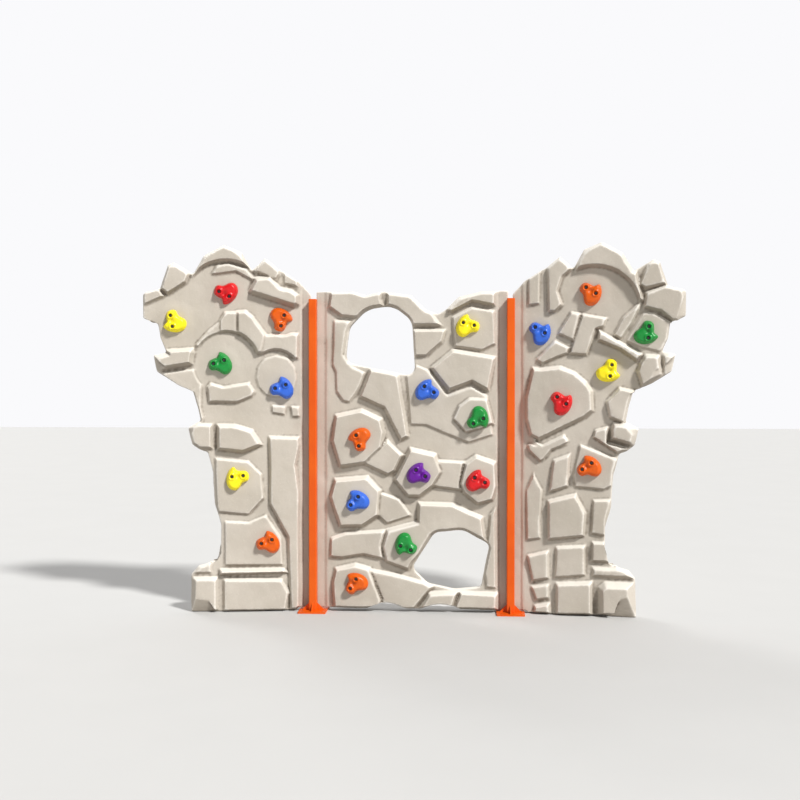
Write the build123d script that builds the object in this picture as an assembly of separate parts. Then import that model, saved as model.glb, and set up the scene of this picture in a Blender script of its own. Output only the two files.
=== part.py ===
"""A free-standing playground climbing wall, in millimetres.

Three hollow moulded panels with boulder relief on both faces hang between and beside two steel posts.
The centre panel has a window and a crawl hole.  The two wings are one moulding used twice, turned back to
front, and fold towards the climber's side.  Coloured climbing holds are bolted to the front faces.

Frame: X runs along the centre panel, Y points away from the climber, Z is up.
"""

import os
from math import atan2, cos, degrees, radians, sin

from build123d import *

# ---------------------------------------------------------------- driving dimensions
POST_SPACING = 1280
POST_HEIGHT = 2030
POST_WIDTH = 50
POST_DEPTH = 60
POST_WALL = 3
POST_CORNER = 6
POST_GAP = 5
WING_FOLD = 8

PANEL_HALF = 25
PANEL_WALL = 8
PANEL_GAP = 14
SOLID_BELOW_AREA = 24000
FIELD_HEIGHT = 8
FIELD_RUN = 6
FLANGE_CENTRE = 562
FLANGE_WING = 76
CROWN_HEIGHT = 120
CROWN_LEAN = 24
BOTTOM_GAP = 14

HOLD_HEIGHT = 50
HOLD_WAIST_SCALE = 0.96
HOLD_TOP_SCALE = 0.78
HOLD_SHIFT = 4
HOLE_PITCH = 72
COUNTERBORE_DEPTH = 26
COUNTERBORE_RADIUS = 12

BOLT_RADIUS = 5
CLEARANCE = 0.5
HOLD_BOLT_HEAD_RADIUS = 8
HOLD_BOLT_HEAD = 8
SOCKET_FLATS = 8
SOCKET_DEPTH = 6
INSERT_RADIUS = 9
INSERT_LENGTH = 28
BOSS_RADIUS = 17
BOSS_LENGTH = 38
INSERT_FLOOR = 3
PAD_RADIUS = 50
PAD_DEPTH = 30
BOLT_ENGAGEMENT = 24

BRACKET_HEIGHTS = (210, 760, 1310, 1860)
BRACKET_TALL = 120
BRACKET_REACH = 62
BRACKET_PLATE = 6
BRACKET_WEB = 8
BRACKET_HOLE_OUT = 40
BRACKET_HOLE_RISE = 35
HEX_FLATS = 17
HEX_HEAD = 6.4
WASHER_RADIUS = 10.5
WASHER_THICKNESS = 2

BASE_WIDTH = 180
BASE_DEPTH = 220
BASE_THICKNESS = 10
BASE_BACK = 70
ANCHOR_SPACING_X = 130
ANCHOR_SPACING_Y = 180
ANCHOR_RADIUS = 7
GUSSET_REACH = 48
GUSSET_THICKNESS = 6
CAP_THICKNESS = 4
CAP_SPIGOT = 25

# ---------------------------------------------------------------- panel outlines, (along, up)
# Centre panel: x from the panel's middle.
CENTRE_HALF = POST_SPACING / 2 - PANEL_GAP
CENTRE_OUTLINE = [
    (-CENTRE_HALF, BOTTOM_GAP), (-CENTRE_HALF, 2085), (-380, 2085), (-300, 2058), (-190, 2085),
    (0, 2060), (95, 1965), (170, 1935), (215, 1960), (305, 2045), (450, 2082), (CENTRE_HALF, 2082),
    (CENTRE_HALF, BOTTOM_GAP),
]
WINDOW = [(-405, 1850), (-290, 1965), (-130, 1985), (0, 1885), (18, 1532), (-430, 1620)]
WINDOW_RADII = [70, 150, 150, 110, 50, 55]
CRAWL_HOLE = [(150, 515), (330, 530), (505, 440), (450, 165), (270, 150), (110, 185), (10, 280)]
CRAWL_RADII = [60, 120, 40, 20, 100, 60, 40]
# Scallops under the centre panel: (x, z, radius) of each arch.
SCALLOPS = [(-160, -160, 215), (190, -165, 220)]

# Wing: u from the post's centre line to the free end.
WING_OUTLINE = [
    (PANEL_GAP, BOTTOM_GAP), (PANEL_GAP, 2060), (95, 2148), (190, 2208), (228, 2225), (318, 2300),
    (402, 2220), (468, 2338), (582, 2385), (714, 2313), (782, 2195), (905, 2270), (945, 2250),
    (995, 2100), (1088, 2077), (1104, 2060), (1104, 1905), (1085, 1893), (1010, 1872), (996, 1775),
    (955, 1684), (1038, 1668), (1015, 1560), (890, 1478), (787, 1436), (755, 1330), (735, 1242),
    (815, 1196), (790, 1090), (740, 1052), (692, 1035), (657, 905), (648, 700), (606, 562),
    (608, 372), (634, 324), (700, 312), (755, 300), (800, 248), (800, 0), (112, 0),
    (112, BOTTOM_GAP),
]

# Boulders: (height, side run, outline).  Outlines may pass the panel's edge, where the crown trims them.
# The raised field runs past the outline, from the plain flange beside each post.
CENTRE_FIELD = (FIELD_HEIGHT, FIELD_RUN, [
    (-FLANGE_CENTRE, -50), (-FLANGE_CENTRE, 2200), (FLANGE_CENTRE, 2200), (FLANGE_CENTRE, -50),
])
WING_FIELD = (FIELD_HEIGHT, FIELD_RUN, [
    (FLANGE_WING, -50), (FLANGE_WING, 2500), (1200, 2500), (1200, -50),
])

CENTRE_BOULDERS = [
    (40, 22, [(-532, 2120), (-180, 2120), (-185, 2035), (-165, 1965), (-365, 1900), (-460, 1910),
        (-550, 1975)]),
    (26, 18, [(-515, 1905), (-385, 1895), (-415, 1820), (-435, 1675), (-380, 1600), (-290, 1560),
        (-325, 1465), (-355, 1410), (-400, 1350), (-450, 1358), (-500, 1430), (-505, 1555),
        (-528, 1605)]),
    (46, 24, [(-275, 1590), (-90, 1570), (-70, 1530), (-5, 1135), (-75, 1092), (-185, 1315),
        (-355, 1390)]),
    (44, 22, [(-170, 2120), (0, 2120), (110, 2000), (175, 1900), (215, 1848), (15, 1848),
        (-90, 1900), (-170, 1960)]),
    (34, 20, [(0, 1842), (236, 1842), (208, 1745), (100, 1648), (0, 1648)]),
    (30, 20, [(252, 1918), (388, 1988), (545, 1962), (556, 1730), (455, 1685), (268, 1712)]),
    (48, 20, [(222, 1960), (250, 2120), (552, 2120), (548, 1972), (392, 2002), (252, 1928)]),
    (48, 24, [(108, 1588), (262, 1712), (556, 1662), (508, 1415), (390, 1482), (240, 1425)]),
    (24, 20, [(-50, 1560), (30, 1618), (112, 1585), (236, 1420), (390, 1476), (502, 1408),
        (542, 1145), (370, 1085), (95, 1200), (-18, 1205)]),
    (50, 18, [(255, 1255), (297, 1348), (372, 1402), (497, 1396), (542, 1218), (350, 1152)]),
    (58, 26, [(-505, 1288), (-325, 1328), (-185, 1262), (-162, 1170), (-178, 1062), (-290, 955),
        (-475, 925), (-532, 1110)]),
    (40, 24, [(-158, 1135), (-40, 1022), (-98, 905), (-150, 872), (-338, 962), (-208, 1078)]),
    (64, 26, [(-15, 1078), (165, 1036), (216, 912), (152, 810), (60, 738), (-30, 738), (-128, 860),
        (-98, 915), (-52, 1005)]),
    (36, 20, [(168, 998), (352, 988), (322, 835), (340, 778), (130, 808)]),
    (60, 24, [(335, 978), (416, 1032), (556, 982), (562, 820), (535, 722), (425, 692), (330, 768),
        (300, 835)]),
    (60, 26, [(-510, 872), (-280, 892), (-185, 792), (-200, 620), (-315, 543), (-475, 538),
        (-542, 750)]),
    (30, 18, [(-212, 792), (-70, 742), (16, 620), (-160, 565), (-226, 620)]),
    (54, 24, [(35, 722), (270, 716), (370, 668), (470, 628), (500, 400), (30, 400), (30, 630)]),
    (36, 20, [(-536, 482), (-435, 521), (-157, 541), (-187, 430), (-167, 330), (-310, 358),
        (-455, 335), (-542, 345)]),
    (56, 24, [(-166, 541), (55, 602), (172, 515), (130, 455), (20, 315), (-15, 258), (-174, 318),
        (-200, 430)]),
    (50, 24, [(-507, 288), (-365, 322), (-262, 292), (-180, 80), (-190, -20), (-515, -20),
        (-527, 195)]),
    (38, 22, [(-286, 290), (-90, 252), (110, 200), (168, 170), (118, 125), (0, -20), (-214, -20),
        (-204, 80)]),
    (56, 26, [(10, -20), (108, 138), (322, 150), (262, -20)]),
    (48, 26, [(246, -20), (306, 150), (568, 138), (562, -20)]),
    (28, 16, [(486, 470), (500, 640), (552, 702), (556, 150), (478, 158), (462, 300)]),
]

# Wing face A, outlines (u, up).  A round recess (u, up, radius) cuts only the boulders in its own group.
# The peak, hollowed by a wide round recess.
CROWN_A = [
    (46, 26, [(800, 2110), (790, 2260), (735, 2400), (580, 2460), (440, 2400), (360, 2200),
        (400, 2090), (570, 1990)]),
]
CROWN_A_RECESSES = [(568, 2000, 266)]
# The arching ridges that lie round three of the holds.
ARCHES_A = [
    (24, 16, [(780, 1735), (690, 1832), (600, 1906), (598, 1700), (740, 1690)]),
    (38, 20, [(620, 1892), (583, 1954), (488, 1960), (486, 1700), (620, 1700)]),
    (52, 24, [(512, 1962), (440, 1967), (388, 1926), (296, 1799), (330, 1662), (512, 1690)]),
    (40, 20, [(362, 1804), (130, 1820), (92, 1815), (95, 1640), (200, 1600), (346, 1660)]),
    (68, 26, [(1080, 1700), (775, 1722), (744, 1650), (760, 1600), (965, 1568), (1080, 1560)]),
    (20, 16, [(1010, 1560), (890, 1440), (780, 1420), (705, 1482), (742, 1590), (965, 1562)]),
]
ARCHES_A_RECESSES = [(570, 1608, 202), (248, 1545, 147), (205, 1890, 86)]
# The other boulders of face A, with the low disc under the arches.
BOULDERS_A = [
    (18, 10, [(383, 1520), (372, 1590), (330, 1648), (248, 1672), (166, 1650), (120, 1590),
        (108, 1520), (126, 1450), (178, 1402), (248, 1388), (318, 1406), (365, 1458)]),
    (36, 20, [(705, 1464), (673, 1500), (583, 1472), (416, 1500), (371, 1430), (395, 1392),
        (493, 1350), (692, 1350)]),
    (26, 16, [(680, 2185), (635, 2252), (550, 2268), (430, 2232), (378, 2168), (398, 2140),
        (505, 2198), (640, 2178)]),
    (46, 22, [(1000, 2090), (960, 2300), (905, 2330), (788, 2192), (815, 2125), (940, 2044)]),
    (30, 20, [(1150, 2120), (1000, 2120), (945, 2040), (1095, 1975), (1150, 1985)]),
    (34, 22, [(400, 2205), (340, 2360), (230, 2300), (210, 2190), (240, 2140), (370, 2190)]),
    (66, 30, [(432, 2085), (386, 2180), (275, 2186), (212, 2116), (140, 2102), (90, 2065),
        (86, 1995), (120, 1965), (280, 2015), (415, 2058)]),
    (24, 16, [(205, 2190), (180, 2260), (100, 2200), (92, 2095), (140, 2110), (205, 2124)]),
    (24, 14, [(820, 1440), (718, 1490), (720, 1330), (706, 1262), (725, 1220), (790, 1330)]),
    (24, 14, [(286, 1352), (176, 1342), (182, 1266), (280, 1286)]),
    (24, 14, [(164, 1346), (90, 1340), (84, 1260), (154, 1254)]),
    (44, 22, [(850, 1240), (650, 1228), (645, 1048), (850, 1060)]),
    (58, 26, [(638, 1228), (510, 1226), (395, 1190), (320, 1080), (460, 1024), (638, 1044)]),
    (28, 18, [(652, 1012), (420, 990), (330, 900), (316, 735), (420, 620), (640, 640)]),
    (42, 22, [(306, 1150), (90, 1145), (80, 1085), (108, 955), (84, 775), (86, 480), (84, -20),
        (166, -20), (186, 480), (300, 700)]),
    (24, 16, [(590, 600), (430, 590), (310, 640), (206, 480), (194, 292), (590, 292)]),
    (54, 18, [(620, 286), (196, 284), (160, 244), (620, 236)]),
    (36, 22, [(600, 226), (205, 218), (152, 125), (178, -20), (600, -20)]),
    (44, 24, [(830, 236), (616, 236), (616, -20), (830, -20)]),
    (26, 20, [(800, 330), (655, 330), (655, 244), (800, 244)]),
]
WING_FACE_A = [(CROWN_A, CROWN_A_RECESSES), (ARCHES_A, ARCHES_A_RECESSES), (BOULDERS_A, [])]

# Wing face B, outlines (u, up).
# The peak, hollowed by a wide round recess.
CROWN_B = [
    (52, 24, [(408, 2195), (440, 2400), (585, 2460), (760, 2400), (850, 2000), (600, 1950)]),
]
CROWN_B_RECESSES = [(530, 1930, 286)]
# The other boulders of face B.
BOULDERS_B = [
    (28, 14, [(110, 2200), (202, 2240), (198, 1986), (110, 1976)]),
    (42, 20, [(226, 2300), (320, 2360), (418, 2222), (346, 2155), (318, 2075), (348, 1985),
        (297, 1930), (236, 1930)]),
    (44, 22, [(800, 2100), (830, 2180), (905, 2330), (1000, 2280), (1010, 2102), (848, 2070)]),
    (46, 22, [(846, 2060), (980, 2110), (1150, 2110), (1150, 1850), (1010, 1866), (940, 1926),
        (832, 1956)]),
    (30, 18, [(790, 1980), (832, 2000), (822, 1950), (775, 1855), (705, 1752), (645, 1790),
        (705, 1905)]),
    (20, 16, [(834, 1940), (900, 1936), (1040, 1866), (1030, 1780), (946, 1672), (820, 1704),
        (720, 1750), (780, 1850)]),
    (34, 18, [(386, 1950), (460, 1936), (412, 1742), (292, 1798)]),
    (34, 18, [(456, 1938), (628, 1905), (602, 1836), (552, 1820), (498, 1650), (366, 1662)]),
    (60, 18, [(560, 1832), (700, 1752), (842, 1668), (804, 1612), (695, 1690), (548, 1752)]),
    (54, 24, [(848, 1672), (946, 1668), (962, 1536), (826, 1440), (790, 1560), (808, 1612)]),
    (38, 20, [(952, 1668), (1090, 1690), (1070, 1500), (966, 1520)]),
    (30, 18, [(286, 1768), (390, 1718), (376, 1665), (300, 1638), (205, 1596), (150, 1635)]),
    (52, 26, [(196, 1590), (325, 1604), (425, 1563), (496, 1500), (538, 1435), (543, 1305),
        (480, 1254), (330, 1180), (190, 1110), (122, 1140), (92, 1250), (94, 1400), (136, 1600)]),
    (34, 20, [(350, 1168), (402, 1100), (276, 1048), (205, 958), (110, 1045), (84, 1180),
        (112, 1126), (195, 1092)]),
    (44, 22, [(600, 1370), (690, 1470), (820, 1440), (790, 1300), (722, 1220), (625, 1260)]),
    (72, 26, [(634, 1202), (655, 1240), (860, 1230), (830, 1070), (632, 1122)]),
    (44, 14, [(522, 1138), (536, 1192), (628, 1216), (626, 1112), (760, 1076), (735, 1030),
        (690, 1030)]),
    (26, 18, [(690, 1010), (636, 1030), (440, 1110), (396, 900), (410, 812), (600, 796), (700, 850)]),
    (38, 20, [(270, 1000), (396, 1048), (384, 820), (240, 770)]),
    (26, 18, [(152, 930), (222, 800), (206, 600), (210, 480), (100, 462), (94, 800)]),
    (46, 24, [(232, 740), (430, 792), (500, 660), (486, 500), (236, 470)]),
    (30, 18, [(690, 760), (520, 752), (508, 520), (640, 500)]),
    (36, 20, [(640, 484), (514, 486), (510, 340), (640, 338)]),
    (36, 20, [(100, 384), (262, 425), (262, 225), (138, 198)]),
    (30, 18, [(122, 186), (262, 208), (262, 98), (165, 78)]),
    (42, 20, [(150, 64), (266, 88), (276, -20), (140, -20)]),
    (34, 20, [(286, 446), (494, 462), (494, 250), (280, 230)]),
    (46, 24, [(286, 214), (536, 232), (540, -20), (290, -20)]),
    (34, 30, [(510, 328), (640, 326), (820, 340), (830, 236), (512, 240)]),
    (66, 44, [(552, 190), (600, 232), (840, 234), (840, -20), (552, -20)]),
]
WING_FACE_B = [(CROWN_B, CROWN_B_RECESSES), (BOULDERS_B, [])]

# ---------------------------------------------------------------- climbing holds
# Foot outline with the two bolt holes at (-36, 0) and (36, 0): a round ear, a full belly and a pointed tip.
HOLD_OUTLINE = [
    (-7, 34), (-34, 33), (-60, 25), (-73, -6), (-64, -33), (-34, -43), (-12, -66), (14, -88),
    (50, -82), (75, -42), (70, 10), (40, 54), (21, 62), (9, 47),
]
# (name, along, up, turn in degrees, seat height above the moulding's surface, hand of the casting)
HOLDS_CENTRE = [
    ("1_yellow", 370, 1865, 166, 30, -1),
    ("2_blue", 115, 1445, 148, 24, -1),
    ("3_green", 431, 1242, 27, 50, -1),
    ("4_orange", -345, 1115, 104, 58, 1),
    ("5_purple", 62, 908, 146, 64, -1),
    ("6_red", 440, 865, 155, 60, -1),
    ("7_blue", -365, 727, 48, 60, 1),
    ("8_green", -35, 425, 159, 56, 1),
    ("9_orange", -375, 190, 58, 50, 1),
]
HOLDS_LEFT = [
    ("1_red", 580, 2060, -25, FIELD_HEIGHT, -1),
    ("2_yellow", 915, 1885, -80, FIELD_HEIGHT, -1),
    ("3_orange", 205, 1890, 73, FIELD_HEIGHT, -1),
    ("4_green", 615, 1622, 18, FIELD_HEIGHT, 1),
    ("5_blue", 220, 1463, 19, 18, 1),
    ("6_yellow", 495, 885, -175, 28, -1),
    ("7_orange", 310, 460, 20, 24, 1),
]
HOLDS_RIGHT = [
    ("1_orange", 515, 2072, -32, FIELD_HEIGHT, 1),
    ("2_blue", 195, 1824, -32, FIELD_HEIGHT, 1),
    ("3_green", 872, 1804, -94, 20, 1),
    ("4_yellow", 641, 1565, -99, FIELD_HEIGHT, 1),
    ("5_red", 335, 1376, -38, 52, 1),
    ("6_orange", 492, 960, 35, 26, 1),
]


# ---------------------------------------------------------------- places
CENTRE_FACE = Location()
LEFT_FACE = Pos(-POST_SPACING / 2, 0, 0) * Rot(0, 0, WING_FOLD)
RIGHT_FACE = Pos(POST_SPACING / 2, 0, 0) * Rot(0, 0, -WING_FOLD)
HALF_TURN = Rot(0, 0, 180)
POST_BACK = -PANEL_HALF - POST_GAP
POST_MIDDLE = POST_BACK - POST_DEPTH / 2


# ---------------------------------------------------------------- shared shapes
def flipped(points):
    """The same points as seen from the other side of the panel."""
    return [(-along, up) for along, up in points]


def inset_face(outline, distance):
    """A flat face from straight-sided points, drawn in by a distance."""
    face = make_face(Polyline(*outline, close=True))
    if distance:
        face = offset(face, -distance, kind=Kind.INTERSECTION)
    return face


def hole_face(outline, radii, grow):
    """A flat face whose corners are arcs, grown by a distance."""
    face = make_face(FilletPolyline(*outline, radius=radii, close=True))
    if grow:
        face = offset(face, grow)
    return face


def on_front(shape, depth):
    """Stand an XY drawing up on the climber's side, depth in front of the moulding's middle."""
    return Plane.XZ.offset(depth) * shape


def across(shape, start, end):
    """A prism through the panel from an XY drawing, between two depths in front of its middle."""
    return extrude(on_front(shape, start), amount=end - start)


def rod(along, up, radius, start, end):
    """A round bar square to the panel."""
    return across(Pos(along, up) * Circle(radius), start, end)


# ---------------------------------------------------------------- moulded panels
def boulder(height, run, outline, inset):
    """A flat-topped stone whose sides lean in by the run; the inset gives the hollow inside it."""
    lean = degrees(atan2(run, height))
    return extrude(on_front(inset_face(outline, inset), PANEL_HALF - inset), amount=height, taper=lean)


def flare(face, inset):
    """The room that a hole or round recess takes out of the relief, opening towards the climber."""
    return extrude(on_front(face, PANEL_HALF - inset), amount=CROWN_HEIGHT, taper=-CROWN_LEAN)


def group(boulders, recesses, inset):
    """Some boulders as one shape, cut by their round recesses."""
    stones = []
    for height, run, points in boulders:
        if inset and inset_face(points, 0).area < SOLID_BELOW_AREA:
            continue
        stones.append(boulder(height, run, points, inset))
    standing = Part() + stones
    for along, up, radius in recesses:
        standing -= flare(Pos(along, up) * Circle(radius + inset), inset)
    return standing


def relief(outline, field, groups, holes, inset):
    """Everything that stands out of one face: groups of boulders, and the raised field."""
    standing = boulder(*field, inset)
    for boulders, recesses in groups:
        standing += group(boulders, recesses, inset)
    edge = on_front(inset_face(outline, inset), PANEL_HALF - inset)
    standing &= extrude(edge, amount=CROWN_HEIGHT, taper=CROWN_LEAN)
    for points, radii in holes:
        standing -= flare(hole_face(points, radii, inset), inset)
    return standing


def turned(groups):
    """The same groups of boulders seen from behind."""
    result = []
    for boulders, recesses in groups:
        stones = [(height, run, flipped(points)) for height, run, points in boulders]
        result.append((stones, [(-along, up, radius) for along, up, radius in recesses]))
    return result


def moulding(outline, field, front, back, holes, inset):
    """A whole panel shape; front and back are groups of boulders."""
    half = PANEL_HALF - inset
    body = across(inset_face(outline, inset), -half, half)
    body += relief(outline, field, front, holes, inset)
    turned_holes = [(flipped(points), radii) for points, radii in holes]
    turned_field = (field[0], field[1], flipped(field[2]))
    body += HALF_TURN * relief(flipped(outline), turned_field, turned(back), turned_holes, inset)
    for points, radii in holes:
        body -= across(hole_face(points, radii, inset), -CROWN_HEIGHT, CROWN_HEIGHT)
    return body


def hollow_panel(outline, field, front, back, holes, scallops):
    """A panel with its sealed hollow; the scallops are arches under its lower edge."""
    outer = moulding(outline, field, front, back, holes, 0)
    inner = moulding(outline, field, front, back, holes, PANEL_WALL)
    for along, up, radius in scallops:
        outer -= rod(along, up, radius, -CROWN_HEIGHT, CROWN_HEIGHT)
        inner -= rod(along, up, radius + PANEL_WALL, -CROWN_HEIGHT, CROWN_HEIGHT)
    return outer - inner


def hold_holes(along, up, turn):
    """Where the two bolts of a hold go through the face."""
    reach = HOLE_PITCH / 2
    turn = radians(turn)
    return [(along + side * reach * cos(turn), up + side * reach * sin(turn)) for side in (-1, 1)]


def add_hold_seats(panel, holds):
    """Round pads, bosses and insert pockets for a panel's climbing holds."""
    for _, along, up, turn, seat, _ in holds:
        top = PANEL_HALF + seat
        if seat > FIELD_HEIGHT:
            panel += rod(along, up, PAD_RADIUS, top - PAD_DEPTH, top)
        for x, z in hold_holes(along, up, turn):
            panel += rod(x, z, BOSS_RADIUS, top - BOSS_LENGTH, top)
    for _, along, up, turn, seat, _ in holds:
        top = PANEL_HALF + seat
        for x, z in hold_holes(along, up, turn):
            panel -= rod(x, z, INSERT_RADIUS, top - INSERT_LENGTH, top)
    return panel


def bracket_holes(x):
    """Where the rear brackets bolt to a flange."""
    return [(x, height + side * BRACKET_HOLE_RISE) for height in BRACKET_HEIGHTS for side in (-1, 1)]


def add_rear_pockets(panel, holes):
    """Bosses and insert pockets in the rear flange."""
    for x, z in holes:
        panel += rod(x, z, BOSS_RADIUS, -PANEL_HALF, PANEL_HALF - PANEL_WALL / 2)
    for x, z in holes:
        panel -= rod(x, z, INSERT_RADIUS, -PANEL_HALF, INSERT_LENGTH - PANEL_HALF)
    return panel


# ---------------------------------------------------------------- climbing holds and their fasteners
def hold_outline(hand):
    """The hold's rounded foot; hand -1 is the left-handed casting."""
    points = [(x, hand * y) for x, y in HOLD_OUTLINE]
    return make_face(Spline(*points, periodic=True))


def climbing_hold(hand):
    """A cast hold lying on the XY plane: a bulging foot, a narrower top and two counterbored holes."""
    foot = hold_outline(hand)
    waist = Pos(0, -hand * HOLD_SHIFT, HOLD_HEIGHT / 2) * scale(foot, HOLD_WAIST_SCALE)
    top = Pos(0, -hand * HOLD_SHIFT, HOLD_HEIGHT) * scale(foot, HOLD_TOP_SCALE)
    body = loft([foot.face(), waist.face(), top.face()])
    bore = Pos(0, 0, HOLD_HEIGHT / 2) * Cylinder(BOLT_RADIUS + CLEARANCE, HOLD_HEIGHT + 2)
    mouth_at = HOLD_HEIGHT - COUNTERBORE_DEPTH / 2
    mouth = Pos(0, 0, mouth_at) * Cylinder(COUNTERBORE_RADIUS, COUNTERBORE_DEPTH)
    for x in (-HOLE_PITCH / 2, HOLE_PITCH / 2):
        body -= Pos(x, 0, 0) * bore
        body -= Pos(x, 0, 0) * mouth
    return body


def on_face(face, along, up, turn, seat):
    """The place of a thing that lies on the XY plane, moved onto a panel's front."""
    return face * Location(Plane.XZ.offset(PANEL_HALF + seat)) * Pos(along, up, 0) * Rot(0, 0, turn)


def hold_bolt():
    """A socket-head bolt with its axis on Z and the hold's seat at zero."""
    head_at = HOLD_HEIGHT - COUNTERBORE_DEPTH
    bolt = Pos(0, 0, (head_at - BOLT_ENGAGEMENT) / 2) * Cylinder(BOLT_RADIUS, head_at + BOLT_ENGAGEMENT)
    bolt += Pos(0, 0, head_at + HOLD_BOLT_HEAD / 2) * Cylinder(HOLD_BOLT_HEAD_RADIUS, HOLD_BOLT_HEAD)
    socket = extrude(RegularPolygon(SOCKET_FLATS / 2, 6, major_radius=False), amount=SOCKET_DEPTH)
    return bolt - Pos(0, 0, head_at + HOLD_BOLT_HEAD - SOCKET_DEPTH) * socket


def insert():
    """A moulded-in threaded insert, mouth at zero and body below."""
    body = Pos(0, 0, -INSERT_LENGTH / 2) * Cylinder(INSERT_RADIUS, INSERT_LENGTH)
    bore_length = INSERT_LENGTH - INSERT_FLOOR
    return body - Pos(0, 0, -bore_length / 2) * Cylinder(BOLT_RADIUS, bore_length)


def hold_set(face, holds):
    """Each hold of a panel by name, with the panel's bolts and inserts."""
    castings = {hand: climbing_hold(hand) for hand in (-1, 1)}
    bolts = []
    inserts = []
    placed = {}
    for name, along, up, turn, seat, hand in holds:
        placed[name] = on_face(face, along, up, turn, seat) * castings[hand]
        for x, z in hold_holes(along, up, turn):
            bolts.append(on_face(face, x, z, 0, seat) * hold_bolt())
            inserts.append(on_face(face, x, z, 0, seat) * insert())
    return placed, bolts, inserts


# ---------------------------------------------------------------- posts
def post_tube():
    """A square-section steel tube standing on its base plate."""
    length = POST_HEIGHT - BASE_THICKNESS - CAP_THICKNESS
    outside = RectangleRounded(POST_WIDTH, POST_DEPTH, POST_CORNER)
    inside = RectangleRounded(POST_WIDTH - 2 * POST_WALL, POST_DEPTH - 2 * POST_WALL, POST_CORNER - POST_WALL)
    return Pos(0, POST_MIDDLE, BASE_THICKNESS) * extrude(outside - inside, amount=length)


def post_cap():
    """A slightly domed cap with a spigot inside the tube."""
    lid = extrude(RectangleRounded(POST_WIDTH, POST_DEPTH, POST_CORNER), amount=CAP_THICKNESS)
    lid = chamfer(lid.faces().sort_by(Axis.Z)[-1].edges(), CAP_THICKNESS / 2)
    inner_width = POST_WIDTH - 2 * POST_WALL - 2 * CLEARANCE
    inner_depth = POST_DEPTH - 2 * POST_WALL - 2 * CLEARANCE
    section = RectangleRounded(inner_width, inner_depth, POST_CORNER - POST_WALL)
    spigot = Pos(0, 0, -CAP_SPIGOT) * extrude(section, amount=CAP_SPIGOT)
    return Pos(0, POST_MIDDLE, POST_HEIGHT - CAP_THICKNESS) * (lid + spigot)


def base_plate():
    """The anchor plate under a post, reaching in front of and behind the panels."""
    middle = BASE_BACK - BASE_DEPTH / 2
    plate = extrude(RectangleRounded(BASE_WIDTH, BASE_DEPTH, POST_CORNER), amount=BASE_THICKNESS)
    for x in (-ANCHOR_SPACING_X / 2, ANCHOR_SPACING_X / 2):
        for y in (-ANCHOR_SPACING_Y / 2, ANCHOR_SPACING_Y / 2):
            plate -= Pos(x, y, BASE_THICKNESS / 2) * Cylinder(ANCHOR_RADIUS, BASE_THICKNESS + 2)
    return Pos(0, middle, 0) * plate


def gussets():
    """Triangular stiffeners at the foot of a post: one each side and one in front."""
    triangle = Plane.XZ * make_face(Polyline((0, 0), (GUSSET_REACH, 0), (0, GUSSET_REACH), close=True))
    rib = extrude(triangle, amount=GUSSET_THICKNESS / 2, both=True)
    right = Pos(POST_WIDTH / 2, POST_MIDDLE, BASE_THICKNESS) * rib
    left = Pos(-POST_WIDTH / 2, POST_MIDDLE, BASE_THICKNESS) * Rot(0, 0, 180) * rib
    front = Pos(0, POST_MIDDLE - POST_DEPTH / 2, BASE_THICKNESS) * Rot(0, 0, -90) * rib
    return [right, left, front]


def bracket(wing_side):
    """A T-shaped bracket: a web through the gap between panels and a plate bent to both rear flanges."""
    leaf = Box(BRACKET_REACH, BRACKET_PLATE, BRACKET_TALL)
    leaf = Pos(BRACKET_REACH / 2, PANEL_HALF + BRACKET_PLATE / 2, 0) * leaf
    hole = Rot(90, 0, 0) * Cylinder(BOLT_RADIUS + CLEARANCE, 4 * PANEL_HALF)
    for rise in (-BRACKET_HOLE_RISE, BRACKET_HOLE_RISE):
        leaf -= Pos(BRACKET_HOLE_OUT, 0, rise) * hole
    mirrored = Rot(0, 180, 0) * leaf
    if wing_side > 0:
        leaves = mirrored + Rot(0, 0, -WING_FOLD) * leaf
    else:
        leaves = leaf + Rot(0, 0, WING_FOLD) * mirrored
    web_length = PANEL_HALF + BRACKET_PLATE - POST_BACK
    web = Box(BRACKET_WEB, web_length, BRACKET_TALL)
    return leaves + Pos(0, POST_BACK + web_length / 2, 0) * web


def frame_bolt():
    """A hex bolt with its axis on Y, head behind, and the rear flange's face at zero."""
    under_head = BRACKET_PLATE + WASHER_THICKNESS
    hexagon = RegularPolygon(HEX_FLATS / 2, 6, major_radius=False)
    head = Pos(0, 0, under_head) * extrude(hexagon, amount=HEX_HEAD)
    length = under_head + BOLT_ENGAGEMENT
    return head + Pos(0, 0, under_head - length / 2) * Cylinder(BOLT_RADIUS, length)


def frame_washer():
    """A plain washer under a frame bolt's head."""
    ring = Cylinder(WASHER_RADIUS, WASHER_THICKNESS) - Cylinder(BOLT_RADIUS, WASHER_THICKNESS)
    return Pos(0, 0, BRACKET_PLATE + WASHER_THICKNESS / 2) * ring


def on_back(face, x, z):
    """The place of a thing on Z, moved onto a panel's rear flange."""
    return face * Pos(x, PANEL_HALF, z) * Rot(-90, 0, 0)


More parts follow.
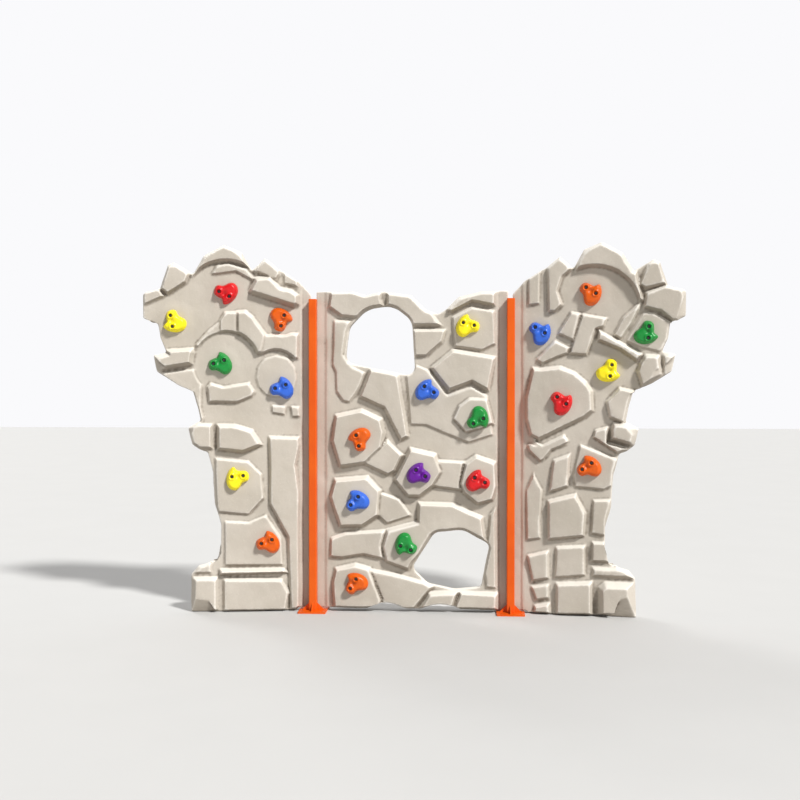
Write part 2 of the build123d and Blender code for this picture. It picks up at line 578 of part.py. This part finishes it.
# ---------------------------------------------------------------- assembly
def build():
    """Every node by name."""
    nodes = {}
    centre_face = [(CENTRE_BOULDERS, [])]
    openings = [(WINDOW, WINDOW_RADII), (CRAWL_HOLE, CRAWL_RADII)]
    centre = hollow_panel(CENTRE_OUTLINE, CENTRE_FIELD, centre_face, centre_face, openings, SCALLOPS)
    wing = hollow_panel(WING_OUTLINE, WING_FIELD, WING_FACE_B, WING_FACE_A, [], [])

    flange = POST_SPACING / 2 - BRACKET_HOLE_OUT
    rear = {
        "centre": bracket_holes(-flange) + bracket_holes(flange),
        "left": bracket_holes(-BRACKET_HOLE_OUT),
        "right": bracket_holes(BRACKET_HOLE_OUT),
    }
    faces = {"centre": CENTRE_FACE, "left": LEFT_FACE, "right": RIGHT_FACE}
    blanks = {"centre": centre, "left": HALF_TURN * wing, "right": wing}
    left_holds = [(name, -along, *rest) for name, along, *rest in HOLDS_LEFT]
    holds = {"centre": HOLDS_CENTRE, "left": left_holds, "right": HOLDS_RIGHT}

    for panel, face in faces.items():
        blank = add_hold_seats(blanks[panel], holds[panel])
        blank = add_rear_pockets(blank, rear[panel])
        nodes[f"panel_{panel}"] = [face * blank]
        placed, bolts, inserts = hold_set(face, holds[panel])
        for name, casting in placed.items():
            nodes[f"hold_{panel}_{name}"] = [casting]
        nodes[f"hold_bolts_{panel}"] = bolts
        nodes[f"hold_inserts_{panel}"] = inserts
        nodes[f"frame_inserts_{panel}"] = [on_back(face, x, z) * insert() for x, z in rear[panel]]

    for side, name in ((-1, "left"), (1, "right")):
        post = Pos(side * POST_SPACING / 2, 0, 0)
        nodes[f"post_{name}_tube"] = [post * post_tube()]
        nodes[f"post_{name}_cap"] = [post * post_cap()]
        nodes[f"post_{name}_base_plate"] = [post * base_plate()]
        nodes[f"post_{name}_gussets"] = [post * rib for rib in gussets()]
        for count, height in enumerate(BRACKET_HEIGHTS, 1):
            nodes[f"bracket_{name}_{count}"] = [post * Pos(0, 0, height) * bracket(side)]
        places = [on_back(faces[name], x, z) for x, z in rear[name]]
        places += [on_back(CENTRE_FACE, x, z) for x, z in bracket_holes(side * flange)]
        nodes[f"frame_bolts_{name}"] = [place * frame_bolt() for place in places]
        nodes[f"frame_washers_{name}"] = [place * frame_washer() for place in places]
    return nodes


def write(nodes):
    """Put the origin under the middle of the whole wall and write one STEP for each node."""
    os.makedirs("parts", exist_ok=True)
    whole = Compound(children=[Compound(children=solids_of(pieces)) for pieces in nodes.values()])
    box = whole.bounding_box()
    shift = Pos(-(box.min.X + box.max.X) / 2, -(box.min.Y + box.max.Y) / 2, -box.min.Z)
    print("shift", tuple(shift.position))
    for name, pieces in nodes.items():
        solids = [shift * solid for solid in solids_of(pieces)]
        export_step(solids[0] if len(solids) == 1 else Compound(children=solids), f"parts/{name}.step")


def solids_of(pieces):
    """All solids of a node, whatever the pieces' wrappers."""
    return [solid for piece in pieces for solid in piece.solids()]


write(build())
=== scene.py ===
"""Looks for a rock climbing wall: moulded panels, cast holds, painted posts and zinc-plated fixings."""
import math

import bpy
import numpy as np
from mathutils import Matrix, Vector, noise


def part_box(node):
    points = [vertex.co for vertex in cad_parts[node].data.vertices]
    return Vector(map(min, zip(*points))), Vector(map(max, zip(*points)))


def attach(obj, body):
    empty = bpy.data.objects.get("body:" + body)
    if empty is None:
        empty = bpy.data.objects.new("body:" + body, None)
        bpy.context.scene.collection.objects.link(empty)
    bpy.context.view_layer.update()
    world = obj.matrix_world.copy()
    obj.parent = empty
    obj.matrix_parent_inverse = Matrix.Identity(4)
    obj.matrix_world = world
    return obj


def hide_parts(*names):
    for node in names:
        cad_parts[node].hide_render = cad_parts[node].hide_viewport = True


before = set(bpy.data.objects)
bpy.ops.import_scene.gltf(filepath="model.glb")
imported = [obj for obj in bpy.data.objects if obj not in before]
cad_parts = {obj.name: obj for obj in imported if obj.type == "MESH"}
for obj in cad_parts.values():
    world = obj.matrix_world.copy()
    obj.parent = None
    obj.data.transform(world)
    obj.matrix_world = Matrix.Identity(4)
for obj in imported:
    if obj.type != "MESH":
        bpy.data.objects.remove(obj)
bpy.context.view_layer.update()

# Lengths are in metres, and colours are display values of 0 to 255.
# ---------------------------------------------------------------- view and light
CAMERA_PLACE = (0.376, -7.161, 1.4815)
CAMERA_YAW = math.radians(-3.586)
CAMERA_PITCH = math.radians(-0.837)
LENS_MM = 50
SENSOR_MM = 36
KEY_FROM = (5.3, -5.2, 6.7)
KEY_SPREAD = math.radians(7)
KEY_STRENGTH = 4.0
RIM_FROM = (-4.0, 5.0, 4.0)
RIM_SPREAD = math.radians(20)
RIM_STRENGTH = 0.7
FLOOR_HALF = 30
# The surround's strength in front of the wall, at the horizon there, and behind the wall.
ROOM_FRONT = 0.12
ROOM_HORIZON = 0.8
ROOM_BACK = 1.0
# Where a direction's height and depth pass from one strength to the next.
HORIZON_HEIGHTS = (0.08, 0.3)
ROOM_DEPTHS = (-0.5, 0.6)

# ---------------------------------------------------------------- colours and finishes
ROOM = (250, 250, 252)
FLOOR = ((193, 192, 189), (197, 196, 193))
STONE = ((184, 175, 161), (197, 188, 175))
STONE_PATCH = (185, 175, 161)
DARK_SPECK = (150, 136, 120)
PALE_SPECK = (236, 229, 218)
# Painted light and shade on the panels: a painted highlight on edges, painted shade in crevices, painted
# light on ledges and painted shade underneath.
EDGE_HIGHLIGHT = (238, 232, 222)
CREVICE_SHADE = (104, 92, 78)
LEDGE_LIGHT = (240, 234, 222)
UNDERSIDE_SHADE = (120, 108, 94)
PAINT = ((218, 84, 6), (226, 94, 10))
PAINT_MOTTLE = (196, 74, 10)
HOLD_COLOURS = {
    "red": (204, 18, 24),
    "yellow": (246, 226, 24),
    "orange": (214, 88, 0),
    "green": (20, 134, 54),
    "blue": (48, 98, 200),
    "purple": (96, 14, 140),
}
# How dark the painted shade in a hold's hollows is; then how pale the hold's random pale blotches are, and
# how much they are lifted.
RESIN_HOLLOW_SHADE = 0.55
PALE_RESIN = 1.2
PALE_LIFT = 0.004
# Light tone, dark tone, roughness and size of the crystals.
METALS = {
    "bracket_zinc": ((176, 180, 184), (138, 142, 148), 0.42, 0.014),
    "fixings": ((120, 122, 126), (84, 86, 90), 0.36, 0.006),
    "sockets": ((112, 110, 110), (88, 86, 86), 0.45, 0.005),
    "brass": ((205, 170, 95), (180, 146, 76), 0.35, 0.004),
}
SMOOTHER_BY = 0.08
ROUGHER_BY = 0.1
# Where noise of 0 to 1 passes from one tone or gloss to the other.
CLOUD = (0.3, 0.7)
# A speck's solid middle and its rim, as shares of its cell, and the fade where specks start to be left out.
SPECK_MIDDLE = 0.12
SPECK_RIM = 0.3
SPECK_FADE = 0.02

# ---------------------------------------------------------------- panels
WELD_DIGITS = 6
FAR_AWAY = 9.0
PANEL_VOXEL = 0.006
PANEL_ROUNDING = 4
CREVICE_REACH = 10
CREVICE_DEPTH = 0.3
CREVICE_LIMIT = 0.02
ROLL_SIZE = 0.22
ROLL_DEPTH = 0.006
ROLL_LEVEL = 0.3
ROLL_OFFSET = 3.1
CHIP_SIZE = 0.07
CHIP_DEPTH = 0.0016
CHIP_STEEPNESS = 1.4
CHIP_OFFSET = 7.7
GRAIN_SIZE = 0.016
GRAIN_DEPTH = 0.0004
GRAIN_OFFSET = 1.3
SEAT_CLEAR = 0.075
SEAT_FADE = 0.07
PANEL_CAVITY_REACH = 5
PANEL_CAVITY_SCALE = 0.0016
WING_FOLD = math.radians(8)

# ---------------------------------------------------------------- holds
HOLD_VOXEL = 0.0028
HOLD_ROUNDING = 10
SCULPT_ROUNDING = 3
FOOT_HEIGHT = 0.012
OUTLINE_STEPS = 72
OUTLINE_OVERLAP = 1.2
TINY = 1e-12
# The share of its height that a casting keeps at its edge and on its dome.
HOLD_EDGE = 0.5
HOLD_TOP = 0.86
DOME_REACH = 0.027
DOME_POWER = 2.2
RING_RADIUS = 0.0175
RING_WIDTH = 0.005
RING_LIFT = 0.14
SADDLE_DIP = 0.22
SADDLE_WIDTH = 0.018
HOLD_CAVITY_REACH = 12
HOLD_CAVITY_SCALE = 0.0018


# ---------------------------------------------------------------- mesh helpers
def vertices(mesh):
    """All vertex places of a mesh as one array."""
    flat = np.empty(len(mesh.vertices) * 3)
    mesh.vertices.foreach_get("co", flat)
    return flat.reshape(-1, 3)


def edges(mesh):
    """All edges of a mesh as pairs of vertex numbers."""
    flat = np.empty(len(mesh.edges) * 2, dtype=np.int32)
    mesh.edges.foreach_get("vertices", flat)
    return flat.reshape(-1, 2)


def normals(mesh):
    """All vertex normals of a mesh."""
    flat = np.empty(len(mesh.vertices) * 3)
    mesh.vertex_normals.foreach_get("vector", flat)
    return flat.reshape(-1, 3)


def place(mesh, points):
    """Moves a mesh's vertices."""
    mesh.vertices.foreach_set("co", points.ravel())
    mesh.update()


def mesh_of(name, points, faces):
    """A new mesh from points and faces."""
    mesh = bpy.data.meshes.new(name)
    mesh.from_pydata([tuple(point) for point in points], [], faces)
    return mesh


def averaged(points, pairs, rounds, weight=0.5):
    """Points moved towards the mean of their neighbours, again and again."""
    first, second = pairs.T
    count = len(points)
    degree = np.maximum(np.bincount(first, minlength=count) + np.bincount(second, minlength=count), 1)
    points = points.copy()
    for _ in range(rounds):
        for axis in range(points.shape[1]):
            value = points[:, axis]
            total = np.bincount(first, weights=value[second], minlength=count)
            total += np.bincount(second, weights=value[first], minlength=count)
            points[:, axis] = value + weight * (total / degree - value)
    return points


def welded(mesh):
    """A copy of a mesh whose faces share their corners."""
    points, number = np.unique(np.round(vertices(mesh), WELD_DIGITS), axis=0, return_inverse=True)
    number = number.ravel()
    faces = [tuple(int(number[v]) for v in face.vertices) for face in mesh.polygons]
    faces = [face for face in faces if len(set(face)) == len(face)]
    return mesh_of("welded", points, faces)


def islands(mesh):
    """A number for each vertex, the same for all vertices joined by edges."""
    pairs = edges(mesh)
    label = np.arange(len(mesh.vertices))
    while True:
        lower = np.minimum(label[pairs[:, 0]], label[pairs[:, 1]])
        fresh = label.copy()
        np.minimum.at(fresh, pairs[:, 0], lower)
        np.minimum.at(fresh, pairs[:, 1], lower)
        fresh = fresh[fresh]
        if np.array_equal(fresh, label):
            return label
        label = fresh


def outer_shell(mesh):
    """A welded copy of a mesh with only its widest island, leaving out a sealed hollow."""
    mesh = welded(mesh)
    label = islands(mesh)
    points = vertices(mesh)
    spans = {}
    for name in np.unique(label):
        member = points[label == name]
        spans[name] = np.linalg.norm(member.max(axis=0) - member.min(axis=0))
    widest = max(spans, key=spans.get)
    keep = label == widest
    number = np.cumsum(keep) - 1
    kept = [face for face in mesh.polygons if keep[face.vertices[0]]]
    faces = [tuple(int(number[v]) for v in face.vertices) for face in kept]
    return mesh_of("shell", points[keep], faces)


def remeshed(name, mesh, voxel):
    """A new object with an even skin of quads over a closed mesh."""
    obj = bpy.data.objects.new(name, mesh)
    bpy.context.scene.collection.objects.link(obj)
    skin = obj.modifiers.new("skin", "REMESH")
    skin.mode = "VOXEL"
    skin.voxel_size = voxel
    skin.use_smooth_shade = True
    evaluated = obj.evaluated_get(bpy.context.evaluated_depsgraph_get())
    result = bpy.data.meshes.new_from_object(evaluated)
    obj.modifiers.clear()
    obj.data = result
    return obj


def store(mesh, name, values):
    """Keeps one number per vertex, for materials to read."""
    layer = mesh.attributes.new(name, "FLOAT", "POINT")
    layer.data.foreach_set("value", np.ascontiguousarray(values, dtype=np.float32))


def smoothstep(values, low, high):
    """Zero below low, one above high, smooth between."""
    t = np.clip((values - low) / (high - low), 0, 1)
    return t * t * (3 - 2 * t)


def noise_at(points, size, offset):
    """Smooth noise of about -1 to 1, with lumps of a size, at each point."""
    scaled = points / size + offset
    return np.array([noise.noise(Vector(p)) for p in scaled])


def chips_at(points, size, offset):
    """Peaks of 0 at scattered points, sloping down to -1 at most between them."""
    scaled = points / size + offset
    nearest = [noise.voronoi(Vector(p))[0][0] for p in scaled]
    return np.array([-min(distance * CHIP_STEEPNESS, 1) for distance in nearest])


# ---------------------------------------------------------------- materials
def linear(red, green, blue):
    """A linear colour from display values of 0 to 255."""
    def channel(value):
        value /= 255
        return value / 12.92 if value <= 0.04045 else ((value + 0.055) / 1.055) ** 2.4
    return (channel(red), channel(green), channel(blue), 1)


class Shader:
    """A small builder for a node material that works in the frame's metres."""

    def __init__(self, name, roughness, metallic=0.0, specular=0.5):
        self.material = bpy.data.materials.new(name)
        self.material.use_nodes = True
        self.tree = self.material.node_tree
        self.surface = self.tree.nodes["Principled BSDF"]
        self.surface.inputs["Roughness"].default_value = roughness
        self.surface.inputs["Metallic"].default_value = metallic
        self.surface.inputs["Specular IOR Level"].default_value = specular
        self.places = self.node("ShaderNodeTexCoord").outputs["Object"]

    def node(self, kind, **settings):
        made = self.tree.nodes.new(kind)
        for key, value in settings.items():
            setattr(made, key, value)
        return made

    def link(self, source, target):
        self.tree.links.new(source, target)

    def noise(self, size, detail=4, roughness=0.55):
        """Noise with lumps of a size in metres."""
        made = self.node("ShaderNodeTexNoise")
        made.inputs["Scale"].default_value = 1 / size
        made.inputs["Detail"].default_value = detail
        made.inputs["Roughness"].default_value = roughness
        self.link(self.places, made.inputs["Vector"])
        return made.outputs["Fac"]

    def cells(self, size):
        """Cells of a size in metres: the distance to their centres, and two random numbers for each."""
        cells = self.node("ShaderNodeTexVoronoi")
        cells.inputs["Scale"].default_value = 1 / size
        self.link(self.places, cells.inputs["Vector"])
        split = self.node("ShaderNodeSeparateColor")
        self.link(cells.outputs["Color"], split.inputs["Color"])
        return cells.outputs["Distance"], split.outputs["Red"], split.outputs["Green"]

    def specks(self, size, share, strength):
        """Separate round specks of a size in metres, over a share of the cells."""
        distance, number, _ = self.cells(size)
        near = self.ramp(distance, SPECK_MIDDLE, SPECK_RIM, 1, 0)
        chosen = self.ramp(number, share, share + SPECK_FADE, 1, 0)
        return self.times(self.times(near, chosen), strength)

    def attribute(self, name):
        return self.node("ShaderNodeAttribute", attribute_name=name).outputs["Fac"]

    def slope(self):
        """How far the surface faces up: 1 on ledges, 0 on upright faces, -1 underneath."""
        split = self.node("ShaderNodeSeparateXYZ")
        self.link(self.node("ShaderNodeNewGeometry").outputs["Normal"], split.inputs["Vector"])
        return split.outputs["Z"]

    def ramp(self, source, low, high, at_low=0.0, at_high=1.0):
        """Maps low..high onto at_low..at_high, smoothly."""
        made = self.node("ShaderNodeMapRange", interpolation_type="SMOOTHSTEP")
        for socket, value in (("From Min", low), ("From Max", high), ("To Min", at_low), ("To Max", at_high)):
            made.inputs[socket].default_value = value
        self.link(source, made.inputs["Value"])
        return made.outputs["Result"]

    def times(self, first, second):
        """The product of two numbers, each a socket or a constant."""
        made = self.node("ShaderNodeMath", operation="MULTIPLY")
        for socket, value in zip(made.inputs, (first, second)):
            if isinstance(value, (int, float)):
                socket.default_value = value
            else:
                self.link(value, socket)
        return made.outputs["Value"]

    def mix(self, factor, first, second):
        """Mixes two colours, each a socket or a linear colour."""
        made = self.node("ShaderNodeMix", data_type="RGBA")
        colours = [socket for socket in made.inputs if socket.type == "RGBA"]
        pairs = ((made.inputs[0], factor), (colours[0], first), (colours[1], second))
        for socket, value in pairs:
            if isinstance(value, (int, float, tuple)):
                socket.default_value = value
            else:
                self.link(value, socket)
        return [socket for socket in made.outputs if socket.type == "RGBA"][0]

    def blotches(self, size, detail, first, second):
        """Two display colours in soft blotches of a size in metres."""
        cloud = self.ramp(self.noise(size, detail), *CLOUD)
        return self.mix(cloud, linear(*first), linear(*second))

    def colour(self, source):
        """Gives the surface its colour."""
        self.link(source, self.surface.inputs["Base Color"])

    def roughness(self, source):
        """Gives the surface its roughness."""
        self.link(source, self.surface.inputs["Roughness"])

    def uneven_gloss(self, size, smoother, rougher):
        """Roughness in soft blotches of a size in metres."""
        self.roughness(self.ramp(self.noise(size), *CLOUD, smoother, rougher))

    def bumps(self, *layers):
        """Stacks bumps, each (height socket, strength, depth in metres)."""
        previous = None
        for height, strength, depth in layers:
            made = self.node("ShaderNodeBump")
            made.inputs["Strength"].default_value = strength
            made.inputs["Distance"].default_value = depth
            self.link(height, made.inputs["Height"])
            if previous:
                self.link(previous, made.inputs["Normal"])
            previous = made.outputs["Normal"]
        self.link(previous, self.surface.inputs["Normal"])


def moulded_rock():
    """Stone-coloured, pebbled plastic, with painted highlights on edges, painted light on ledges and painted
    shade in crevices and underneath.
    """
    shader = Shader("moulded_rock", roughness=0.6)
    cavity = shader.attribute("cavity")
    edge = shader.times(cavity, -1.0)
    patch = shader.noise(0.07, detail=5, roughness=0.7)
    tone = shader.blotches(0.45, 3, *STONE)
    for share, tint in (
        (shader.ramp(patch, 0.45, 0.75, at_high=0.35), STONE_PATCH),
        (shader.specks(0.006, share=0.22, strength=0.35), DARK_SPECK),
        (shader.specks(0.0085, share=0.16, strength=0.4), PALE_SPECK),
        # Painted highlight: edges that stand out are lightened.
        (shader.ramp(edge, 0.12, 0.9, at_high=0.8), EDGE_HIGHLIGHT),
        # Painted shade: crevices are darkened.
        (shader.ramp(cavity, 0.12, 1.0, at_high=0.9), CREVICE_SHADE),
        # Painted light: surfaces that face up are lightened.
        (shader.ramp(shader.slope(), 0.15, 0.8, at_high=0.75), LEDGE_LIGHT),
        # Painted shade: surfaces that face down are darkened.
        (shader.ramp(shader.slope(), -0.75, -0.1, at_low=0.6, at_high=0), UNDERSIDE_SHADE),
    ):
        tone = shader.mix(share, tone, linear(*tint))
    shader.colour(tone)
    shader.uneven_gloss(0.03, smoother=0.5, rougher=0.68)
    shader.bumps((shader.noise(0.012, detail=3), 0.35, 0.0016), (shader.noise(0.0028, detail=2), 0.3, 0.0006))
    return shader.material


def cast_resin(name, colour):
    """Glossy coloured casting resin with a fine sandy skin and painted shade in its hollows."""
    shader = Shader(name, roughness=0.32, specular=0.4)
    base = linear(*colour)
    hollow_shade = (*(channel * RESIN_HOLLOW_SHADE for channel in base[:3]), 1)
    pale = (*(min(channel * PALE_RESIN + PALE_LIFT, 1) for channel in base[:3]), 1)
    tone = shader.mix(shader.ramp(shader.noise(0.03), 0.35, 0.7, at_high=0.5), base, pale)
    # Painted shade: hollows and bolt holes are darkened to a darker tone of the resin.
    tone = shader.mix(shader.ramp(shader.attribute("cavity"), 0.1, 1.2, at_high=0.7), tone, hollow_shade)
    shader.colour(tone)
    shader.uneven_gloss(0.01, smoother=0.26, rougher=0.42)
    shader.bumps((shader.noise(0.0022, detail=2), 0.35, 0.0005))
    return shader.material


def powder_coat():
    """Bright orange powder coat with orange-peel and faint darker mottling."""
    shader = Shader("post_paint", roughness=0.4, specular=0.3)
    mottle = shader.ramp(shader.noise(0.012, detail=5), 0.62, 0.78, at_high=0.25)
    shader.colour(shader.mix(mottle, shader.blotches(0.25, 3, *PAINT), linear(*PAINT_MOTTLE)))
    shader.uneven_gloss(0.05, smoother=0.34, rougher=0.48)
    shader.bumps((shader.noise(0.0035, detail=1), 0.3, 0.0004))
    return shader.material


def spangled_metal(name, light, dark, roughness, spangle):
    """Metal with a crystalline spangle, for zinc-plated steel and for brass."""
    shader = Shader(name, roughness=roughness, metallic=0.9)
    _, shade, gloss = shader.cells(spangle)
    shader.colour(shader.mix(shade, linear(*light), linear(*dark)))
    shader.roughness(shader.ramp(gloss, 0, 1, roughness - SMOOTHER_BY, roughness + ROUGHER_BY))
    shader.bumps((shader.noise(0.004, detail=3), 0.2, 0.0003))
    return shader.material


def studio_floor():
    """A plain pale floor."""
    shader = Shader("floor", roughness=0.85)
    shader.colour(shader.mix(shader.noise(0.6, detail=2), *(linear(*tone) for tone in FLOOR)))
    return shader.material


# ---------------------------------------------------------------- pieces
def finish_piece(obj, node, material):
    """Gives a piece its material and lets it stand for a CAD node."""
    obj.data.materials.clear()
    obj.data.materials.append(material)
    obj.data.polygons.foreach_set("use_smooth", [True] * len(obj.data.polygons))
    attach(obj, "root")
    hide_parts(node)


def cavity_of(mesh, reach, scale=1):
    """How deep each vertex lies below its surroundings; positive in crevices, negative on edges."""
    points = vertices(mesh)
    around = averaged(points, edges(mesh), reach)
    return ((around - points) * normals(mesh)).sum(axis=1) / scale


def seat_places():
    """The middle of every hold and bracket, where the panels aren't displaced."""
    fitted = [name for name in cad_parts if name.startswith(("hold_", "bracket_"))]
    seated = [name for name in fitted if "bolts" not in name and "inserts" not in name]
    return [sum(map(np.array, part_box(name))) / 2 for name in seated]


def seat_mask(points):
    """One away from the seats of the holds and brackets, zero at them."""
    gap = np.full(len(points), FAR_AWAY)
    for seat in seat_places():
        gap = np.minimum(gap, np.linalg.norm(points - seat, axis=1))
    return smoothstep(gap, SEAT_CLEAR, SEAT_CLEAR + SEAT_FADE)


def rock_panel(node, material):
    """A panel with rounded, worn boulders and deepened crevices, on the CAD panel's shape."""
    shell = outer_shell(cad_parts[node].data)
    obj = remeshed(f"rock_{node}", shell, PANEL_VOXEL)
    mesh = obj.data
    place(mesh, averaged(vertices(mesh), edges(mesh), PANEL_ROUNDING))
    points = vertices(mesh)
    low, high = (np.array(corner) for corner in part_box(node))
    lift = ROLL_DEPTH * (noise_at(points, ROLL_SIZE, ROLL_OFFSET) - ROLL_LEVEL)
    lift += CHIP_DEPTH * chips_at(points, CHIP_SIZE, CHIP_OFFSET)
    lift += GRAIN_DEPTH * noise_at(points, GRAIN_SIZE, GRAIN_OFFSET)
    lift -= CREVICE_DEPTH * np.clip(cavity_of(mesh, CREVICE_REACH), 0, CREVICE_LIMIT)
    points = points + normals(mesh) * (lift * seat_mask(points))[:, None]
    place(mesh, np.clip(points, low, high))
    store(mesh, "cavity", cavity_of(mesh, PANEL_CAVITY_REACH, PANEL_CAVITY_SCALE))
    finish_piece(obj, node, material)


def panel_of(node):
    """The panel name inside a node's name."""
    return node.split("_")[1]


def plain_casting(node):
    """The CAD hold with an even, rounded skin, ready to be sculpted."""
    obj = remeshed(f"cast_{node}", welded(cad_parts[node].data), HOLD_VOXEL)
    mesh = obj.data
    place(mesh, averaged(vertices(mesh), edges(mesh), HOLD_ROUNDING))
    return obj


def bolt_middles():
    """The middle of every hold bolt, from the bolts' separate islands."""
    middles = []
    for node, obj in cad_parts.items():
        if not node.startswith("hold_bolts"):
            continue
        mesh = welded(obj.data)
        points = vertices(mesh)
        label = islands(mesh)
        for name in np.unique(label):
            member = points[label == name]
            middles.append((member.max(axis=0) + member.min(axis=0)) / 2)
    return np.array(middles)


def front_of(node):
    """The direction a node's panel faces."""
    turn = {"left": WING_FOLD, "centre": 0.0, "right": -WING_FOLD}[panel_of(node)]
    return np.array([math.sin(turn), -math.cos(turn), 0.0])


def distance_to_outline(points, outline):
    """How far flat points lie from a closed outline."""
    nearest = np.full(len(points), FAR_AWAY)
    for start, end in zip(outline, np.roll(outline, -1, axis=0)):
        along = end - start
        t = np.clip(((points - start) @ along) / max(along @ along, TINY), 0, 1)
        nearest = np.minimum(nearest, np.linalg.norm(points - start - t[:, None] * along, axis=1))
    return nearest


def foot_outline(flat, foot):
    """A closed outline round a casting's foot, in even steps of angle round the casting's middle."""
    centre = flat.mean(axis=0)
    across, up = (foot - centre).T
    angle = np.arctan2(up, across)
    reach = np.linalg.norm(foot - centre, axis=1)
    outline = []
    for step in range(OUTLINE_STEPS):
        target = -math.pi + (step + 0.5) * 2 * math.pi / OUTLINE_STEPS
        near = np.abs(angle - target) < OUTLINE_OVERLAP * math.pi / OUTLINE_STEPS
        outline.append(centre + reach[near].max() * np.array([math.cos(target), math.sin(target)]))
    return np.array(outline)


def height_share(flat, outline, holes):
    """The share of its height that each point keeps: a dome, a ring round each hole and a saddle."""
    inside = distance_to_outline(flat, outline)
    dome = 1 - (1 - np.clip(inside / DOME_REACH, 0, 1)) ** DOME_POWER
    share = HOLD_EDGE + (HOLD_TOP - HOLD_EDGE) * dome
    for hole in holes:
        gap = np.linalg.norm(flat - hole, axis=1)
        share += RING_LIFT * np.exp(-((gap - RING_RADIUS) / RING_WIDTH) ** 2)
    between = np.linalg.norm(flat - holes.mean(axis=0), axis=1)
    share -= SADDLE_DIP * np.exp(-(between / SADDLE_WIDTH) ** 2)
    return np.clip(share, HOLD_EDGE, 1.0)


def sculpt_hold(obj, node, middles):
    """Domes a hold's top and raises a ring round each bolt hole."""
    mesh = obj.data
    front = front_of(node)
    side = np.array([-front[1], front[0], 0.0])
    points = vertices(mesh)
    middle = (points.max(axis=0) + points.min(axis=0)) / 2
    order = np.argsort(np.linalg.norm(middles - middle, axis=1))
    pair = middles[order[:2]]
    heights = points @ front
    seat = heights.min()
    flat = np.stack([points @ side, points[:, 2]], axis=1)
    holes = np.stack([pair @ side, pair[:, 2]], axis=1)
    outline = foot_outline(flat, flat[heights < seat + FOOT_HEIGHT])
    rise = (heights - seat) * height_share(flat, outline, holes)
    points = points + front * (rise - (heights - seat))[:, None]
    place(mesh, averaged(points, edges(mesh), SCULPT_ROUNDING))
    store(mesh, "cavity", cavity_of(mesh, HOLD_CAVITY_REACH, HOLD_CAVITY_SCALE))


# ---------------------------------------------------------------- making
rock = moulded_rock()
for name in ("panel_left", "panel_centre", "panel_right"):
    rock_panel(name, rock)

resins = {name: cast_resin(f"hold_{name}", colour) for name, colour in HOLD_COLOURS.items()}
middles = bolt_middles()
for name in sorted(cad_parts):
    colour = name.split("_")[-1]
    if name.startswith("hold_") and colour in resins:
        piece = plain_casting(name)
        sculpt_hold(piece, name, middles)
        finish_piece(piece, name, resins[colour])

paint = powder_coat()
metals = {name: spangled_metal(name, *look) for name, look in METALS.items()}
for name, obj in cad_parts.items():
    finish = None
    if name.startswith("post_"):
        finish = paint
    elif name.startswith("bracket_"):
        finish = metals["bracket_zinc"]
    elif "inserts" in name:
        finish = metals["brass"]
    elif name.startswith("hold_bolts"):
        finish = metals["sockets"]
    elif name.startswith("frame_"):
        finish = metals["fixings"]
    if finish:
        for slot in obj.material_slots:
            slot.material = finish


def stage():
    """The floor, the camera, a key light from the upper right front and a weak rim light from behind."""
    size = FLOOR_HALF
    corners = [(-size, -size, 0), (size, -size, 0), (size, size, 0), (-size, size, 0)]
    mesh = mesh_of("floor", corners, [(0, 1, 2, 3)])
    mesh.materials.append(studio_floor())
    floor = bpy.data.objects.new("floor", mesh)
    bpy.context.scene.collection.objects.link(floor)

    camera_data = bpy.data.cameras.new("camera")
    camera_data.lens = LENS_MM
    camera_data.sensor_width = SENSOR_MM
    camera = bpy.data.objects.new("camera", camera_data)
    camera.location = CAMERA_PLACE
    camera.rotation_euler = (math.pi / 2 + CAMERA_PITCH, 0, -CAMERA_YAW)
    bpy.context.scene.collection.objects.link(camera)
    bpy.context.scene.camera = camera

    add_light("key", KEY_FROM, KEY_SPREAD, KEY_STRENGTH)
    add_light("rim", RIM_FROM, RIM_SPREAD, RIM_STRENGTH)
    bpy.context.scene.world = pale_room()
    bpy.context.scene.view_settings.view_transform = "Standard"


def add_light(name, come_from, spread, strength):
    """An even, distant light that comes from a direction."""
    data = bpy.data.lights.new(name, "SUN")
    data.angle = spread
    data.energy = strength
    light = bpy.data.objects.new(name, data)
    light.location = come_from
    light.rotation_euler = (-Vector(come_from)).to_track_quat("-Z", "Y").to_euler()
    bpy.context.scene.collection.objects.link(light)


def pale_room():
    """A pale surround: bright behind the wall, and dim in front of it above a bright horizon."""
    world = bpy.data.worlds.new("world")
    world.use_nodes = True
    tree = world.node_tree
    background = tree.nodes["Background"]
    background.inputs["Color"].default_value = linear(*ROOM)
    directions = tree.nodes.new("ShaderNodeTexCoord")
    split = tree.nodes.new("ShaderNodeSeparateXYZ")
    tree.links.new(directions.outputs["Generated"], split.inputs["Vector"])
    front = tree.nodes.new("ShaderNodeMapRange")
    for socket, value in zip(front.inputs[1:5], (*HORIZON_HEIGHTS, ROOM_HORIZON, ROOM_FRONT)):
        socket.default_value = value
    tree.links.new(split.outputs["Z"], front.inputs["Value"])
    depth = tree.nodes.new("ShaderNodeMapRange")
    for socket, value in zip(depth.inputs[1:3], ROOM_DEPTHS):
        socket.default_value = value
    depth.inputs["To Max"].default_value = ROOM_BACK
    tree.links.new(split.outputs["Y"], depth.inputs["Value"])
    tree.links.new(front.outputs["Result"], depth.inputs["To Min"])
    tree.links.new(depth.outputs["Result"], background.inputs["Strength"])
    return world


stage()
